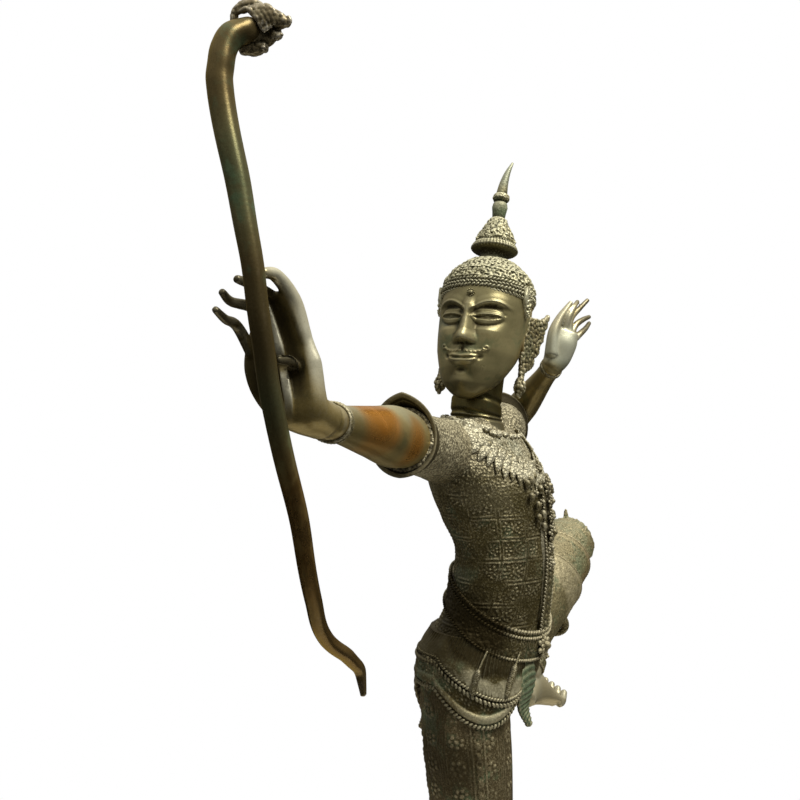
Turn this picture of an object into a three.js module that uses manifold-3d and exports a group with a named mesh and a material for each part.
// Bronze archer dancer of the classical Thai stage: a figure cast in one piece, the bow that is slipped
// through its right hand, and a low round plinth. Millimetres, +Z up, the figure's chest faces -Y, its left
// is +X, and the origin is the middle of the plinth's underside.
import * as THREE from 'three';
import { mergeVertices } from 'three/addons/utils/BufferGeometryUtils.js';
import Module from 'manifold-3d';

const wasm = await Module();
wasm.setup();

// Driving sizes.
const PLINTH_HEIGHT = 40;
const PLINTH_RADIUS = 140;
const SEAT_GAP = 0.3;
const BOW_GAP = 0.35;
const SOLE = PLINTH_HEIGHT + SEAT_GAP;
const CLOTH = 3;
const SLACK = 0.35;
const TURN = 2 * Math.PI;
const FRONT = -TURN / 4;

// Joints of the body.
const HIP_RIGHT = [-38, -4, 482];
const KNEE_RIGHT = [-47, -25, 262];
const ANKLE_RIGHT = [-30, 8, 84];
const HIP_LEFT = [42, -4, 482];
const KNEE_LEFT = [222, -14, 556];
const ANKLE_LEFT = [80, -22, 430];
const SHOULDER_RIGHT = [-88, -6, 674];
const CUFF_RIGHT = [-198, -34, 688];
const ELBOW_RIGHT = [-214, -38, 690];
const WRIST_RIGHT = [-361, -74, 706];
const SHOULDER_LEFT = [74, 12, 686];
const ELBOW_LEFT = [206, 54, 696];
const WRIST_LEFT = [128, -30, 757];
const HEAD_CENTRE = [4, -8, 789];
const HEAD_TURN = -83;
const HEAD_TILT = -13;
const HEAD_ROLL = 3;

const vec = ([x, y, z]) => new THREE.Vector3(x, y, z);
const mix = (a, b, k) => a.map((value, i) => value + (b[i] - value) * k);
const radians = THREE.MathUtils.degToRad;
const count = (n) => Array.from({ length: n }, (_, i) => i);

// A body of round sections: each station is [x, y, z, half width, half depth]. The sections stand square to
// the line through the stations, or level where that is asked for. Their width lies along `across`, which
// may turn towards `acrossEnd`.
class Loft {
  constructor(stations, across, level = false, acrossEnd = across) {
    this.line = new THREE.CatmullRomCurve3(stations.map(vec), false, 'centripetal');
    const halves = stations.map(([, , , wide, deep]) => new THREE.Vector3(wide, deep, 0));
    this.halves = new THREE.CatmullRomCurve3(halves, false, 'centripetal');
    this.across = vec(across).normalize();
    this.acrossEnd = vec(acrossEnd).normalize();
    this.level = level;
  }

  at(t, angle, lift = 0) {
    const along = this.level ? new THREE.Vector3(0, 0, 1) : this.line.getTangent(t);
    const across = this.across.clone().lerp(this.acrossEnd, t);
    const wide = across.clone().addScaledVector(along, -across.dot(along)).normalize();
    const deep = along.clone().cross(wide);
    const half = this.halves.getPoint(t);
    return this.line
      .getPoint(t)
      .addScaledVector(wide, Math.cos(angle) * (half.x + lift))
      .addScaledVector(deep, Math.sin(angle) * (half.y + lift));
  }

  // Place along the line where a level loft reaches a height.
  rise(height) {
    const up = this.line.getPoint(1).z > this.line.getPoint(0).z;
    let [low, high] = [0, 1];
    for (let i = 0; i < 30; i += 1) {
      const middle = (low + high) / 2;
      if (this.line.getPoint(middle).z < height === up) low = middle;
      else high = middle;
    }
    return low;
  }
}

// Closed skin over a row of closed outlines, which ends in tips or, where it is a hoop, runs into itself.
function skin(outlines, hoop = false) {
  const sides = outlines[0].length;
  const places = outlines.flat();
  const faces = [];
  const rows = hoop ? outlines.length : outlines.length - 1;
  for (const row of count(rows)) {
    const next = (row + 1) % outlines.length;
    for (const i of count(sides)) {
      const j = (i + 1) % sides;
      const [a, b, c, d] = [row * sides + i, row * sides + j, next * sides + j, next * sides + i];
      faces.push(a, b, c, a, c, d);
    }
  }
  if (!hoop) {
    for (const [row, turned] of [[0, true], [outlines.length - 1, false]]) {
      const middle = outlines[row].reduce((sum, p) => sum.add(p), new THREE.Vector3()).divideScalar(sides);
      const hub = places.push(middle) - 1;
      for (const i of count(sides)) {
        const [a, b] = [row * sides + i, row * sides + ((i + 1) % sides)];
        faces.push(...(turned ? [hub, b, a] : [hub, a, b]));
      }
    }
  }
  return outwards(places, faces);
}

// Indexed geometry whose faces point out.
function outwards(places, faces) {
  let volume = 0;
  for (let f = 0; f < faces.length; f += 3) {
    const [a, b, c] = [places[faces[f]], places[faces[f + 1]], places[faces[f + 2]]];
    volume += a.dot(b.clone().cross(c));
  }
  if (volume < 0) faces.reverse();
  const geometry = new THREE.BufferGeometry().setFromPoints(places);
  geometry.setIndex(faces);
  return geometry;
}

// Solid of a loft with round ends.
function limb(stations, across, { sides = 12, rings = 8, level = false, dome = 0.6 } = {}) {
  const loft = new Loft(stations, across, level);
  const outline = (t, lift = 0) => count(sides).map((i) => loft.at(t, (i / sides) * TURN, lift));
  const body = count(rings + 1).map((i) => outline(i / rings));
  if (!dome) return skin(body);
  const end = (t, sign) => {
    const half = loft.halves.getPoint(t);
    const reach = Math.min(half.x, half.y) * dome;
    const out = loft.line.getTangent(t).multiplyScalar(sign * reach);
    const middle = loft.line.getPoint(t);
    return outline(t).map((p) => p.sub(middle).multiplyScalar(0.6).add(middle).add(out));
  };
  return skin([end(0, -1), ...body, end(1, 1)]);
}

// Band on a loft between two edges that are functions of the angle, over a stretch of angles or all round.
function band(loft, { from = 0, to = TURN, parts = 24, steps = 1, top, bottom, lift = CLOTH, sink = 4 }) {
  const hoop = Math.abs(to - from) > TURN - 0.001;
  const sections = count(hoop ? parts : parts + 1).map((i) => {
    const angle = from + ((to - from) * i) / parts;
    const [high, low] = [top(angle), bottom(angle)];
    const places = count(steps + 1).map((k) => high + ((low - high) * k) / steps);
    const outer = places.map((t) => loft.at(t, angle, lift));
    const inner = places.reverse().map((t) => loft.at(t, angle, -sink));
    return [...outer, ...inner];
  });
  return skin(sections, hoop);
}

// Ring of round section about a loft, as a bracelet, cuff or rope.
function ring(loft, t, { thick = 3, parts = 12, sides = 4, lift = 0 }) {
  const sections = count(parts).map((i) => {
    const angle = (i / parts) * TURN;
    const middle = loft.at(t, angle, lift);
    const out = loft.at(t, angle, lift + 1).sub(middle).normalize();
    const along = loft.level ? new THREE.Vector3(0, 0, 1) : loft.line.getTangent(t);
    return count(sides).map((k) => {
      const turn = (k / sides) * TURN;
      const away = Math.cos(turn) * thick;
      return middle.clone().addScaledVector(out, away).addScaledVector(along, Math.sin(turn) * thick);
    });
  });
  return skin(sections, true);
}

// Squashed ball, for bosses, toes, jewels and flowers.
function boss(place, halves, { turn = 0, detail = 0 } = {}) {
  const geometry = new THREE.IcosahedronGeometry(1, detail);
  geometry.scale(...halves);
  geometry.rotateZ(radians(turn));
  geometry.translate(...place);
  return geometry;
}

// Flat leaf: an outline in the plane of two directions, thickened across it.
function leaf(outline, place, right, up, thick) {
  const shape = new THREE.Shape(outline.map(([x, y]) => new THREE.Vector2(x, y)));
  const geometry = new THREE.ExtrudeGeometry(shape, { depth: thick, bevelEnabled: false });
  geometry.translate(0, 0, -thick / 2);
  const [x, y] = [vec(right).normalize(), vec(up).normalize()];
  const z = x.clone().cross(y).normalize();
  const basis = new THREE.Matrix4().makeBasis(x, z.clone().cross(x), z);
  basis.setPosition(vec(place));
  return geometry.applyMatrix4(basis);
}

// Manifold solids and back.
function solid(geometry) {
  const bare = geometry.clone();
  bare.deleteAttribute('normal');
  bare.deleteAttribute('uv');
  const merged = mergeVertices(bare, 1e-4);
  const vertProperties = new Float32Array(merged.attributes.position.array);
  const triVerts = new Uint32Array(merged.index.array);
  return new wasm.Manifold(new wasm.Mesh({ numProp: 3, vertProperties, triVerts }));
}

// Limits of thinning: the longest edge that is drawn together, the steps up to it, how far a face may turn
// and the least size of a face that is left.
const LONGEST_EDGE = 14;
const EDGE_STEPS = [0.25, 0.5, 1];
const LEAST_TURN_COSINE = 0.7;
const LEAST_FACE = 0.02;

// Thinner mesh of the same shape: an edge is drawn together where every face about it keeps its plane to
// within the slack, so that the seams between joined pieces cost few faces.
function thinned(geometry, slack) {
  const places = count(geometry.attributes.position.count).map((i) =>
    new THREE.Vector3().fromBufferAttribute(geometry.attributes.position, i),
  );
  const corners = Array.from(geometry.index.array);
  const faces = count(corners.length / 3).map((f) => corners.slice(3 * f, 3 * f + 3));
  const about = places.map(() => new Set());
  faces.forEach((face, f) => face.forEach((i) => about[i].add(f)));
  const neighbours = (i) => new Set([...about[i]].flatMap((f) => faces[f]).filter((j) => j !== i));
  const square = ([a, b, c]) => places[b].clone().sub(places[a]).cross(places[c].clone().sub(places[a]));
  const joins = (from, into) => {
    const shared = [...about[from]].filter((f) => faces[f].includes(into));
    const common = [...neighbours(from)].filter((i) => neighbours(into).has(i));
    if (shared.length !== 2 || common.length !== 2) return false;
    const step = places[into].clone().sub(places[from]);
    return [...about[from]].every((f) => {
      const before = square(faces[f]);
      const size = before.length();
      if (size > 1e-6 && Math.abs(before.dot(step)) > slack * size) return false;
      if (shared.includes(f)) return true;
      const after = square(faces[f].map((i) => (i === from ? into : i)));
      return after.dot(before) > LEAST_TURN_COSINE * after.length() * size && after.length() > LEAST_FACE;
    });
  };
  const join = (from, into) => {
    for (const f of about[from]) {
      if (faces[f].includes(into)) {
        faces[f].forEach((i) => i !== from && about[i].delete(f));
        faces[f] = null;
      } else {
        faces[f] = faces[f].map((i) => (i === from ? into : i));
        about[into].add(f);
      }
    }
    about[from].clear();
  };
  for (const share of EDGE_STEPS) {
    const reach = share * LONGEST_EDGE;
    for (const from of count(places.length)) {
      const near = [...neighbours(from)]
        .map((i) => [places[i].distanceTo(places[from]), i])
        .filter(([distance]) => distance < reach)
        .sort((a, b) => a[0] - b[0]);
      const into = near.find(([, i]) => joins(from, i));
      if (into) join(from, into[1]);
    }
  }
  const kept = faces.filter(Boolean).flat();
  const used = [...new Set(kept)];
  const order = new Map(used.map((i, k) => [i, k]));
  const thin = new THREE.BufferGeometry().setFromPoints(used.map((i) => places[i]));
  thin.setIndex(kept.map((i) => order.get(i)));
  return thin;
}

const joined = (geometries) => geometries.map(solid).reduce((whole, piece) => whole.add(piece));

// Largest closed shell of a joined solid, so that no sealed hollow stays inside the casting.
function faceted(manifold) {
  const { vertProperties, triVerts } = manifold.getMesh();
  const owner = count(vertProperties.length / 3);
  const root = (i) => {
    while (owner[i] !== i) {
      owner[i] = owner[owner[i]];
      i = owner[i];
    }
    return i;
  };
  for (let f = 0; f < triVerts.length; f += 3) {
    owner[root(triVerts[f])] = root(triVerts[f + 1]);
    owner[root(triVerts[f + 1])] = root(triVerts[f + 2]);
  }
  const shells = new Map();
  for (let f = 0; f < triVerts.length; f += 3) {
    const key = root(triVerts[f]);
    if (!shells.has(key)) shells.set(key, []);
    shells.get(key).push(triVerts[f], triVerts[f + 1], triVerts[f + 2]);
  }
  const faces = [...shells.values()].sort((a, b) => b.length - a.length)[0];
  const geometry = new THREE.BufferGeometry();
  geometry.setAttribute('position', new THREE.BufferAttribute(new Float32Array(vertProperties), 3));
  geometry.setIndex(faces);
  return geometry;
}

// Torso, from the seat to the root of the neck, hollow-backed as a dancer stands.
const torso = new Loft(
  [
    [-6, 0, 428, 48, 42],
    [-2, -5, 456, 70, 57],
    [0, -12, 483, 70, 56],
    [2, -21, 510, 64, 49],
    [5, -28, 550, 61, 45],
    [7, -28, 575, 61, 44],
    [7, -20, 605, 69, 50],
    [5, -13, 635, 77, 54],
    [1, -7, 660, 82, 45],
    [-3, -4, 682, 72, 35],
    [-3, -3, 695, 54, 30],
    [-1, -3, 702, 30, 27],
  ],
  [1, 0, 0],
  true,
  [1, 0.14, 0],
);

function loftBody(loft, sides, rings) {
  const row = (t) => count(sides).map((i) => loft.at(t, (i / sides) * TURN));
  return skin(count(rings + 1).map((i) => row(i / rings)));
}

// Legs in trousers that end in a cuff above the ankle, with bare feet.
const thighRight = new Loft(
  [
    [...mix(HIP_RIGHT, KNEE_RIGHT, -0.05), 24, 24],
    [...mix(HIP_RIGHT, KNEE_RIGHT, 0.02), 40, 38],
    [...mix(HIP_RIGHT, KNEE_RIGHT, 0.16), 43, 41],
    [...mix(HIP_RIGHT, KNEE_RIGHT, 0.4), 42, 42],
    [...mix(HIP_RIGHT, KNEE_RIGHT, 0.7), 37, 39],
    [...KNEE_RIGHT, 31, 33],
    [...mix(KNEE_RIGHT, ANKLE_RIGHT, 0.3), 30, 34],
    [...mix(KNEE_RIGHT, ANKLE_RIGHT, 0.62), 24, 27],
  ],
  [1, 0, 0],
);
const shinRight = [
  [...mix(KNEE_RIGHT, ANKLE_RIGHT, 0.5), 19, 21],
  [...mix(KNEE_RIGHT, ANKLE_RIGHT, 0.8), 14, 16],
  [...ANKLE_RIGHT, 14, 17],
  [ANKLE_RIGHT[0], ANKLE_RIGHT[1] + 2, 62, 16, 20],
];
const thighLeft = new Loft(
  [
    [...HIP_LEFT, 46, 46],
    [...mix(HIP_LEFT, KNEE_LEFT, 0.4), 44, 44],
    [...mix(HIP_LEFT, KNEE_LEFT, 0.75), 38, 38],
    [...mix(HIP_LEFT, KNEE_LEFT, 0.96), 31, 31],
  ],
  [0, 1, 0],
);
const calfLeft = new Loft(
  [
    [...mix(KNEE_LEFT, ANKLE_LEFT, 0), 29, 29],
    [...mix(KNEE_LEFT, ANKLE_LEFT, 0.3), 30, 31],
    [...mix(KNEE_LEFT, ANKLE_LEFT, 0.62), 22, 24],
  ],
  [0, 1, 0],
);
const shinLeft = [
  [...mix(KNEE_LEFT, ANKLE_LEFT, 0.5), 17, 18],
  [...mix(KNEE_LEFT, ANKLE_LEFT, 0.8), 13, 14],
  [...ANKLE_LEFT, 13, 15],
];

// Bare foot with five toes: built with the heel under the origin, the sole at z 0 and the toes to -Y.
function foot(mirror, curl) {
  const sole = 9;
  const body = limb(
    [
      [0, 14, sole + 6, 15, 13],
      [0, -6, sole + 14, 16, 20],
      [mirror * 1, -36, sole + 7, 19, 13],
      [mirror * 2, -62, sole, 22, 8],
    ],
    [1, 0, 0],
    { sides: 10, rings: 5 },
  );
  const toes = count(5).map((i) => {
    const across = mirror * (-16 + i * 8.5) + mirror * 2;
    const reach = 28 - i * 4;
    const wide = i === 0 ? 6 : 4.4;
    const base = [across, -58, 7];
    const tip = [across - mirror * 1, -66 - reach, 7 + curl * reach];
    const middle = [across, -62 - reach / 2, 6 + curl * reach * 0.2];
    return limb([[...base, wide, 6], [...middle, wide, 5], [...tip, wide * 0.8, 4]], [1, 0, 0], {
      sides: 5,
      rings: 2,
    });
  });
  return [body, ...toes];
}

function placed(geometries, matrix) {
  return geometries.map((geometry) => geometry.clone().applyMatrix4(matrix));
}

function frameAt(place, backwards, up) {
  const [y, z] = [vec(backwards).normalize(), vec(up).normalize()];
  const x = y.clone().cross(z).normalize();
  return new THREE.Matrix4().makeBasis(x, y, x.clone().cross(y)).setPosition(vec(place));
}

// Arms: short sleeves, bare from there on.
const sleeveRight = new Loft(
  [
    [...mix(SHOULDER_RIGHT, CUFF_RIGHT, -0.4), 12, 14],
    [...mix(SHOULDER_RIGHT, CUFF_RIGHT, -0.12), 29, 30],
    [...SHOULDER_RIGHT, 29, 29],
    [...mix(SHOULDER_RIGHT, CUFF_RIGHT, 0.5), 26, 26],
    [...CUFF_RIGHT, 25.5, 26],
  ],
  [0, 1, 0],
);
const armRight = [
  [...mix(SHOULDER_RIGHT, CUFF_RIGHT, 0.5), 22, 22],
  [...CUFF_RIGHT, 23.5, 23.5],
  [...mix(ELBOW_RIGHT, WRIST_RIGHT, 0.06), 23.5, 24.5],
  [...mix(ELBOW_RIGHT, WRIST_RIGHT, 0.4), 19.5, 19.5],
  [...mix(ELBOW_RIGHT, WRIST_RIGHT, 0.85), 13.5, 13],
  [...WRIST_RIGHT, 14, 12],
];
const sleeveLeft = new Loft(
  [
    [...mix(SHOULDER_LEFT, ELBOW_LEFT, -0.3), 12, 12],
    [...mix(SHOULDER_LEFT, ELBOW_LEFT, -0.1), 27, 27],
    [...SHOULDER_LEFT, 30, 29],
    [...mix(SHOULDER_LEFT, ELBOW_LEFT, 0.36), 27, 26],
  ],
  [0, 0, 1],
);
const armLeft = [
  [...mix(SHOULDER_LEFT, ELBOW_LEFT, 0.2), 24, 24],
  [...mix(SHOULDER_LEFT, ELBOW_LEFT, 0.7), 22, 22],
  [...mix(SHOULDER_LEFT, ELBOW_LEFT, 0.98), 19, 20],
];
const forearmLeft = [
  [...ELBOW_LEFT, 18, 18],
  [...mix(ELBOW_LEFT, WRIST_LEFT, 0.3), 18, 18],
  [...mix(ELBOW_LEFT, WRIST_LEFT, 0.85), 11.5, 11.5],
  [...WRIST_LEFT, 12, 11],
];

// A digit through its joints, tapering to the tip.
function digit(joints, thick) {
  const taper = 0.45;
  const stations = joints.map((place, i) => {
    const half = thick * (1 - (taper * i) / (joints.length - 1));
    return [...place, half, half];
  });
  return limb(stations, [0.5, -0.86, 0.1], { sides: 6, rings: 4 });
}

// Right hand: palm along the arm, the fingers bent forward past the bow.
const PALM_ACROSS_RIGHT = [0.3, -0.95, 0];
const PALM_RIGHT = [
  [...mix(WRIST_RIGHT, [-382, -70, 710], 0.2), 15, 13],
  [-383, -70, 714, 20, 13],
  [-391, -61, 740, 26, 9],
  [-393, -60, 764, 20, 7.5],
  [-399, -63, 785, 11, 5],
];
const DIGITS_RIGHT = [
  [[-388, -74, 760], [-394, -71, 783], [-408, -68, 797], [-420, -68, 797]],
  [[-391, -66, 764], [-400, -61, 783], [-417, -56, 791], [-430, -56, 793]],
  [[-394, -56, 762], [-406, -50, 777], [-427, -49, 780], [-442, -55, 784]],
  [[-398, -44, 746], [-413, -42, 766], [-431, -48, 769], [-449, -56, 773]],
];
const THUMB_RIGHT = [[-386, -64, 731], [-396, -73, 740], [-408, -79, 744], [-422, -80, 744]];
const THICKNESS_RIGHT = [6.2, 5, 4.5, 4.3, 4.8];

// Left hand: the palm turned to the bow, the fingers fanned back.
const PALM_ACROSS_LEFT = [0.45, -0.75, -0.35];
const PALM_LEFT = [
  [...WRIST_LEFT, 12, 10],
  [132, -34, 767, 15, 9.5],
  [135.5, -37.5, 782, 17, 9],
  [139, -39.5, 795, 16, 6],
];
const DIGITS_LEFT = [
  [[139, -39, 794], [143, -43, 812], [152, -45, 822], [165, -45, 830]],
  [[142, -42, 792], [150, -43, 810], [165, -47, 822], [178, -52, 832.5]],
  [[144, -44, 789], [156, -46, 803], [169, -50, 810], [183, -52, 814]],
  [[144, -46, 784], [158, -50, 793], [171, -52, 800], [183, -52, 807]],
];
const THICKNESS_LEFT = 4.4;
const THUMB_LEFT = [
  [124, -31, 770, 8, 8],
  [128, -31.5, 794, 6.2, 6.2],
  [136, -35, 809, 4.8, 4.8],
  [144, -39.5, 820, 3.6, 3.6],
  [150, -43, 828, 2.4, 2.4],
];

// Head, built as if it looked to -Y with its middle at the origin.
const skull = new Loft(
  [
    [0, -32, -76, 7, 6],
    [0, -30, -72, 14, 12],
    [0, -25, -63, 24, 21],
    [0, -18, -49, 32, 31],
    [0, -10, -29, 39.5, 40],
    [0, -4, -5, 43.5, 45],
    [0, 0, 20, 45, 49],
    [0, 2, 44, 43, 46],
    [0, 2, 60, 34, 36],
  ],
  [1, 0, 0],
  true,
);

function face() {
  const nose = skin([
    [[-3, -50, 16], [3, -50, 16], [2, -43, 16], [-2, -43, 16]].map(vec),
    [[-3, -56, 0], [3, -56, 0], [5, -44, 0], [-5, -44, 0]].map(vec),
    [[-5, -61, -19], [5, -61, -19], [9, -43, -20], [-9, -43, -20]].map(vec),
    [[-4, -55, -25], [4, -55, -25], [8, -41, -25], [-8, -41, -25]].map(vec),
  ]);
  const eyes = [-1, 1].map((side) => boss([side * 18, -42, 1], [12, 6, 5], { turn: side * 22, detail: 1 }));
  const brows = [-1, 1].map((side) =>
    limb(
      [[side * 3, -50, 11, 2, 2], [side * 17, -46, 18, 2, 2.4], [side * 33, -32, 11, 1.4, 1.6]],
      [0, 0, 1],
      { sides: 5, rings: 4 },
    ),
  );
  const lips = [boss([0, -47, -40], [13, 5, 3]), boss([0, -46, -46], [11, 5, 3.4])];
  const moustache = [-1, 1].map((side) =>
    limb(
      [[side * 2, -51, -33, 2, 1.6], [side * 14, -46, -35, 1.8, 1.4], [side * 24, -37, -29, 0.8, 0.8]],
      [0, 0, 1],
      { sides: 5, rings: 3 },
    ),
  );
  const chin = boss([0, -38, -65], [10, 9, 8]);
  const ears = [-1, 1].map((side) => boss([side * 42, 4, -8], [4, 9, 18]));
  return [nose, chin, ...eyes, ...brows, ...lips, ...moustache, ...ears];
}

// Crown: a rim low on the brow, a domed cap of curls, a waist, a flared tier with a cone, a vase and a
// curved spire. Each ring is [radius, height], and a third value is how far its curls stand out.
const CROWN = [
  [43.5, 28], [46.5, 30], [47.5, 36], [45.5, 38],
  [45.5, 44, 3], [41, 53.5, 3], [33.5, 62, 3], [24.5, 69.5, 2],
  [14.5, 73.5], [13.2, 78], [14.5, 81.5],
  [23.5, 84], [22, 88], [18.5, 97, 1.5], [13, 108, 1.5], [6.4, 119],
  [8, 130], [6, 137], [8.2, 141], [5.8, 146],
];
const SPIRE = [[0, 0, 144, 6, 6], [1, 0, 157, 4.6, 4.6], [3, 1.5, 170, 3, 3], [6, 4.5, 182, 1.2, 1.2]];

function crown() {
  const sides = 20;
  const tiers = skin(
    CROWN.map(([radius, height, curl = 0], row) =>
      count(sides).map((i) => {
        const away = radius + curl * ((i + row) % 2 ? 1 : -0.4);
        const angle = (i / sides) * TURN;
        return new THREE.Vector3(Math.cos(angle) * away, Math.sin(angle) * away, height);
      }),
    ),
  );
  const spire = limb(SPIRE, [1, 0, 0], { sides: 7, rings: 4 });
  const cheeks = [-1, 1].map((side) =>
    leaf([[-8, 14], [9, 14], [8, 2], [0, -14], [-8, 3]], [side * 44.5, -10, 25], [0, -1, 0], [0, 0, 1], 5),
  );
  return [tiers, spire, ...cheeks];
}

// Ear ornament: a flame-edged leaf behind the ear with a curled tip, and a pendant flower below it.
function earOrnament(side) {
  const outline = [
    [-6, 18], [8, 20], [18, 22], [30, 31], [27, 18], [23, 8], [24, 1], [18, -6], [19, -14], [12, -20],
    [12, -28], [3, -36], [-4, -40], [-8, -24], [-9, 0],
  ];
  const plate = leaf(outline, [side * 43, 9, -2], [side * 0.35, 0.94, 0], [0, 0, 1], 6);
  const drop = [[7, -34, 3, 3], [6, -45, 3, 3], [6, -55, 5, 6], [6, -64, 2, 2]];
  const tassel = drop.map((station) => [side * 42, ...station]);
  return [plate, limb(tassel, [0, 1, 0], { sides: 6, rings: 5 })];
}

function neck() {
  return limb(
    [[-2, -3, 688, 30, 28], [-2, -2, 706, 26, 25.5], [2, -3, 738, 25, 25], [8, -5, 760, 26, 26]],
    [1, 0, 0],
    { sides: 14, rings: 4, level: true },
  );
}

// Collar of pointed leaves, low at the breast and close to the neck over the shoulders. The leaves swing
// about the edge line by their depth.
const COLLAR_BREAST = 640;
const COLLAR_CLIMB = 64;
const COLLAR_SHOULDER = 694;
const COLLAR_TOP = 696;
const COLLAR_TILT = 4;
const COLLAR_HIGH_SIDE = radians(120);
const COLLAR_LEAVES = 22;
const COLLAR_LEAF_DEPTH = 9;

function collar() {
  const edge = (angle) => {
    const low = Math.min(COLLAR_BREAST + COLLAR_CLIMB * (1 + Math.sin(angle)) ** 0.8, COLLAR_SHOULDER);
    const tooth = (((angle / TURN) * COLLAR_LEAVES) % 1) - 0.5;
    return torso.rise(low - COLLAR_LEAF_DEPTH * (1 - 2 * Math.abs(Math.abs(tooth) - 0.5)));
  };
  const top = (angle) => torso.rise(COLLAR_TOP + COLLAR_TILT * Math.cos(angle - COLLAR_HIGH_SIDE));
  return band(torso, { parts: COLLAR_LEAVES * 2, top, bottom: edge, lift: 4.5 });
}

// Jacket front: a beaded band down the middle and a pendant of bosses at the breast.
function jacketFront() {
  const strip = band(torso, {
    from: FRONT - 0.12,
    to: FRONT + 0.12,
    parts: 2,
    steps: 8,
    top: () => torso.rise(650),
    bottom: () => torso.rise(500),
    lift: 4,
  });
  const studs = count(7).map((i) => {
    const place = torso.at(torso.rise(652 - i * 15), FRONT, i < 5 ? 9 : 5);
    return boss(place.toArray(), i % 3 === 1 ? [10, 7, 9] : [7, 6, 7]);
  });
  const wings = [-1, 1].flatMap((side) =>
    [638, 612].map((height) => {
      const place = torso.at(torso.rise(height), FRONT + side * 0.22, 4);
      return boss(place.toArray(), [7, 4, 6]);
    }),
  );
  return [strip, ...studs, ...wings];
}

// Belt, lower in front, between two ropes.
const BELT_HEIGHT = 515;
const BELT_DROP = 30;
const BELT_HALF = 13;

function belt() {
  const middle = (angle) => BELT_HEIGHT + BELT_DROP * Math.sin(angle);
  const plain = band(torso, {
    parts: 28,
    top: (angle) => torso.rise(middle(angle) + BELT_HALF),
    bottom: (angle) => torso.rise(middle(angle) - BELT_HALF),
    lift: 3.5,
  });
  const buckle = boss(torso.at(torso.rise(484), FRONT, 6).toArray(), [12, 6, 12]);
  return [plain, buckle];
}

// Hip cloths: two rounded layers over the right thigh and two about the root of the raised leg.
const hipRight = new Loft(
  [
    [-2, -15, 500, 62, 48],
    [-20, -9, 472, 57, 51],
    [-34, -10, 440, 47, 47],
    [-39, -14, 398, 43, 42],
    [-41, -15, 384, 42.5, 41.5],
  ],
  [1, 0, 0],
  true,
);

// Draped hem that stays below the height `most` and swings down by `deep` at the angle `low`.
function hem(high, deep, low, most) {
  return (angle) => {
    const swing = (1 + Math.cos(angle - radians(low))) / 2;
    return hipRight.rise(Math.min(high - deep * swing, most));
  };
}

function hipCloths() {
  const overlap = 6;
  const hipLayer = (top, bottom, lift) => band(hipRight, { parts: 18, top, bottom, lift, sink: 6 });
  const thighLayer = (start, end, lift) =>
    band(thighLeft, {
      parts: 16,
      top: () => start,
      bottom: (angle) => end + 0.08 * Math.cos(angle - FRONT * 1.6),
      lift,
      sink: 6,
    });
  return [
    hipLayer(() => hipRight.rise(499), hem(523, 82, 253, 478), 5),
    hipLayer(hem(523 + overlap, 82, 253, 478 + overlap), hem(547, 125, 230, 455), 3.4),
    thighLayer(0.12, 0.42, 5.5),
    thighLayer(0.3, 0.66, 3),
  ];
}

// Cloth panels that hang free at front and back, with flicked tips.
function panels() {
  const front = limb(
    [
      [-12, -58, 478, 14, 7],
      [-14, -63, 450, 15, 5],
      [-12, -58, 426, 10, 4],
      [-8, -62, 408, 3, 3],
    ],
    [1, 0, 0],
    { sides: 8, rings: 5 },
  );
  const back = limb(
    [
      [-8, 50, 470, 20, 5],
      [-8, 54, 430, 18, 5],
      [-8, 50, 402, 10, 4],
      [-8, 57, 386, 3, 3],
    ],
    [1, 0, 0],
    { sides: 8, rings: 5 },
  );
  return [front, back];
}

// Sleeve end that flares into an upturned point over the arm, towards the angle `crest`, and into a small
// lip on the other side. `near` and `under` say how much of each there is at an angle.
const FLARE_ROOT = 0.93;
const FLARE_REACH = 11;
const FLARE_LIFT = 9;
const LIP_SHARE = 0.3;
const LIP_LIFT = 3;

function epaulet(loft, crest) {
  const out = loft.line.getTangent(1);
  const parts = 20;
  const sections = count(parts).map((i) => {
    const angle = crest + (i / parts) * TURN;
    const off = (Math.min(i, parts - i) / parts) * TURN;
    const near = Math.max(0, 1 - off / 1.5) ** 1.4;
    const under = Math.max(0, (off / Math.PI) * 2.2 - 1.2);
    const reach = FLARE_REACH * (near + LIP_SHARE * under);
    const rim = LIP_LIFT * under;
    const tip = (lift, back) => loft.at(1, angle, lift).addScaledVector(out, reach - back);
    return [
      loft.at(FLARE_ROOT, angle, -4),
      loft.at(FLARE_ROOT, angle, 1.6),
      tip(2.2 + FLARE_LIFT * near + rim, 0),
      tip(-0.4 + (FLARE_LIFT - 0.5) * near + rim, 1.2),
    ];
  });
  return skin(sections, true);
}

// Small point that stands on the raised knee.
function kneePoint() {
  return limb([[219, -10, 574, 5, 5], [219, -10, 584, 2.6, 2.6], [219, -10, 591, 1, 1]], [0, 1, 0], {
    sides: 6,
    rings: 2,
  });
}

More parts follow.
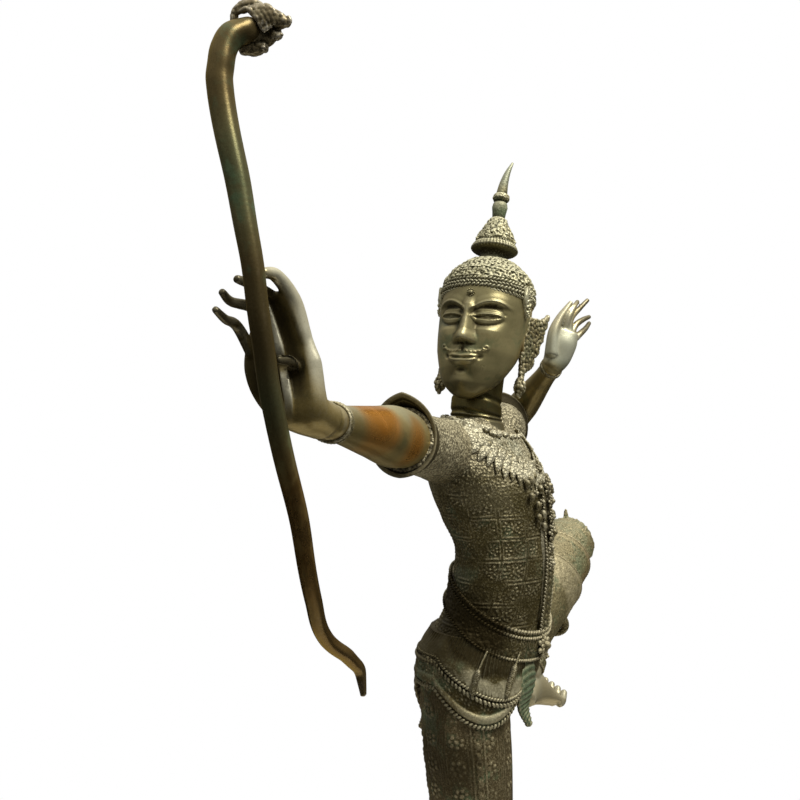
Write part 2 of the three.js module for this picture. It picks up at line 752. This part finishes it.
function figure() {
  const cuffs = [
    ring(thighRight, 1, { thick: 3.5, lift: 1, parts: 16 }),
    ring(calfLeft, 1, { thick: 3.5, lift: 1 }),
    ring(new Loft(shinRight, [1, 0, 0]), 0.5, { thick: 3, lift: 1, parts: 10 }),
    ring(new Loft(shinLeft, [0, 1, 0]), 0.8, { thick: 3, lift: 1, parts: 10 }),
    ring(new Loft(armRight, [0, 1, 0]), 0.93, { thick: 3, lift: 0.5, parts: 10 }),
    ring(new Loft(forearmLeft, [0, 0, 1]), 0.93, { thick: 2.6, lift: 0.5, parts: 10 }),
  ];
  const headFrame = new THREE.Matrix4()
    .makeTranslation(...HEAD_CENTRE)
    .multiply(new THREE.Matrix4().makeRotationZ(radians(HEAD_TURN)))
    .multiply(new THREE.Matrix4().makeRotationX(radians(HEAD_TILT)))
    .multiply(new THREE.Matrix4().makeRotationY(radians(HEAD_ROLL)));
  const head = [loftBody(skull, 16, 11), ...face(), ...crown(), ...earOrnament(-1), ...earOrnament(1)];
  const standing = frameAt([ANKLE_RIGHT[0], ANKLE_RIGHT[1], SOLE - 3], [0.42, 0.9, 0], [0, 0, 1]);
  const heel = [ANKLE_LEFT[0] - 6, ANKLE_LEFT[1], ANKLE_LEFT[2] - 36];
  const raised = frameAt(heel, [-0.96, -0.1, 0.2], [0.2, 0, 1]);
  const body = [
    loftBody(torso, 18, 14),
    loftBody(thighRight, 16, 9),
    limb(shinRight, [1, 0, 0], { sides: 10, rings: 4 }),
    loftBody(thighLeft, 16, 5),
    limb([[...mix(HIP_LEFT, KNEE_LEFT, 0.94), 31, 31], [...KNEE_LEFT, 27, 27]], [0, 1, 0], { rings: 1 }),
    loftBody(calfLeft, 12, 4),
    limb(shinLeft, [0, 1, 0], { sides: 10, rings: 4 }),
    ...placed(foot(1, 0.35), standing),
    ...placed(foot(-1, 0.8), raised),
    loftBody(sleeveRight, 14, 5),
    limb(armRight, [0, 1, 0], { sides: 12, rings: 7 }),
    limb(PALM_RIGHT, PALM_ACROSS_RIGHT, { sides: 10, rings: 4 }),
    ...[...DIGITS_RIGHT, THUMB_RIGHT].map((joints, i) => digit(joints, THICKNESS_RIGHT[i])),
    loftBody(sleeveLeft, 14, 5),
    limb(armLeft, [0, 0, 1], { sides: 10, rings: 3 }),
    limb(forearmLeft, [0, 0, 1], { sides: 10, rings: 4 }),
    limb(PALM_LEFT, PALM_ACROSS_LEFT, { sides: 10, rings: 4 }),
    ...DIGITS_LEFT.map((joints) => digit(joints, THICKNESS_LEFT)),
    limb(THUMB_LEFT, [0.5, -0.86, 0.1], { sides: 6, rings: 4 }),
    neck(),
    ...placed(head, headFrame),
    collar(),
    ...jacketFront(),
    ...belt(),
    ...hipCloths(),
    ...panels(),
    kneePoint(),
    epaulet(sleeveRight, -TURN / 4),
    epaulet(sleeveLeft, 0),
    ...cuffs,
  ];
  const ground = new THREE.BoxGeometry(400, 400, 60);
  ground.translate(0, 0, SOLE - 30);
  return joined(body).subtract(solid(ground)).subtract(solid(bowLimb(BOW_GAP)));
}

// Bow: a long recurved staff of rounded diamond section, bent over at the top into a carved serpent head.
const BOW = [
  [-408, -56, 949, 7, 7],
  [-420, -54, 946, 8, 8],
  [-430, -50, 939, 8, 8],
  [-436, -49, 923, 8, 8],
  [-438, -50, 906, 8, 8],
  [-440, -65, 850, 7.4, 7.4],
  [-439, -75, 802, 6.6, 6.6],
  [-434, -79, 755, 6.4, 6.4],
  [-423, -80, 708, 6.4, 6.4],
  [-399, -79, 648, 6, 6],
  [-374, -72, 592, 5.4, 5.4],
  [-355, -68, 563, 5, 5],
  [-336, -73, 547, 4.8, 4.8],
  [-324, -75, 535, 4, 4],
  [-321, -76, 518, 2, 2],
];

function bowLimb(lift = 0) {
  const stations = BOW.map(([x, y, z, wide, deep]) => [x, y, z, wide + lift, deep + lift]);
  return limb(stations, [0.86, -0.51, 0], { sides: 8, rings: 24 });
}

// Carved beast's head at the upper end, laid out from a point on the bent neck: across to the tip of the
// snout, up, and back from the side that is seen.
function bowHead() {
  const root = new THREE.Vector3(-421.5, -51.6, 950);
  const side = new THREE.Vector3(0.515, -0.857, 0);
  const back = new THREE.Vector3(0.857, 0.515, 0);
  const tube = (points, thick, sides = 7, rings = 5) => {
    const stations = points.map(([s, h, d], i) => {
      const place = root.clone().addScaledVector(side, s).addScaledVector(back, d);
      return [place.x, place.y, place.z + h, thick[i], thick[i]];
    });
    return limb(stations, back.toArray(), { sides, rings });
  };
  const strand = [
    [-3, 7, 2],
    [5, 8.5, -1.5],
    [11, 2, -3],
    [15, -5, -2],
  ];
  const spread = [
    [2, 0.8, 0],
    [4.2, 0, 0],
    [4.2, 1, 0],
    [4.2, 2, 0],
  ];
  const mane = count(3).map((i) => {
    const points = strand.map((point, k) => point.map((value, axis) => value + i * spread[k][axis]));
    return tube(points, [1.6, 2.2, 2, 1.4], 5, 3);
  });
  return [
    tube([[5, -5, 6], [13, -3, 8], [20, 0, 6]], [8, 8.5, 6], 8, 3),
    tube([[16, 5, 4], [22, 3, 2], [29, 1, 0]], [7, 6, 3], 8, 3),
    tube([[19, -5, 3], [23, -7, 1], [25.5, -6, 0]], [2.6, 2.6, 1.6], 6, 2),
    tube([[1, -12.5, 5], [8, -12.5, 6], [14.5, -13, 4]], [4.5, 5, 3.2], 7, 3),
    tube([[-5, 1, 4], [-3.5, 8, 3], [2, 12.5, 2], [9, 13, 2], [15, 8, 1]], [2.4, 2.6, 3, 3, 2.6], 5, 5),
    ...mane,
  ];
}

function bow() {
  return joined([bowLimb(), ...bowHead()]);
}

// Plinth: a low round base with a flat foot, a hollow and a plain top.
function plinth() {
  const profile = [
    [0, 0], [PLINTH_RADIUS, 0], [PLINTH_RADIUS, 10], [PLINTH_RADIUS - 5, 13], [PLINTH_RADIUS - 13, 17],
    [PLINTH_RADIUS - 15, 24], [PLINTH_RADIUS - 11, 29], [PLINTH_RADIUS - 8, 31], [PLINTH_RADIUS - 8, 37],
    [PLINTH_RADIUS - 11, PLINTH_HEIGHT], [0, PLINTH_HEIGHT],
  ];
  const body = new THREE.LatheGeometry(profile.map(([r, z]) => new THREE.Vector2(r, z)), 32);
  return body.rotateX(TURN / 4);
}

function piece(name, geometry, colour, roughness, metalness) {
  const material = new THREE.MeshStandardMaterial({ color: colour, roughness, metalness });
  const mesh = new THREE.Mesh(geometry, material);
  mesh.name = name;
  return mesh;
}

const object = new THREE.Group();
object.add(piece('figure', thinned(faceted(figure()), SLACK), 0x5c5636, 0.55, 0.8));
object.add(piece('bow', thinned(faceted(bow()), SLACK), 0x3d2f24, 0.45, 0.85));
object.add(piece('base', plinth(), 0x4a452f, 0.6, 0.75));

export default object;
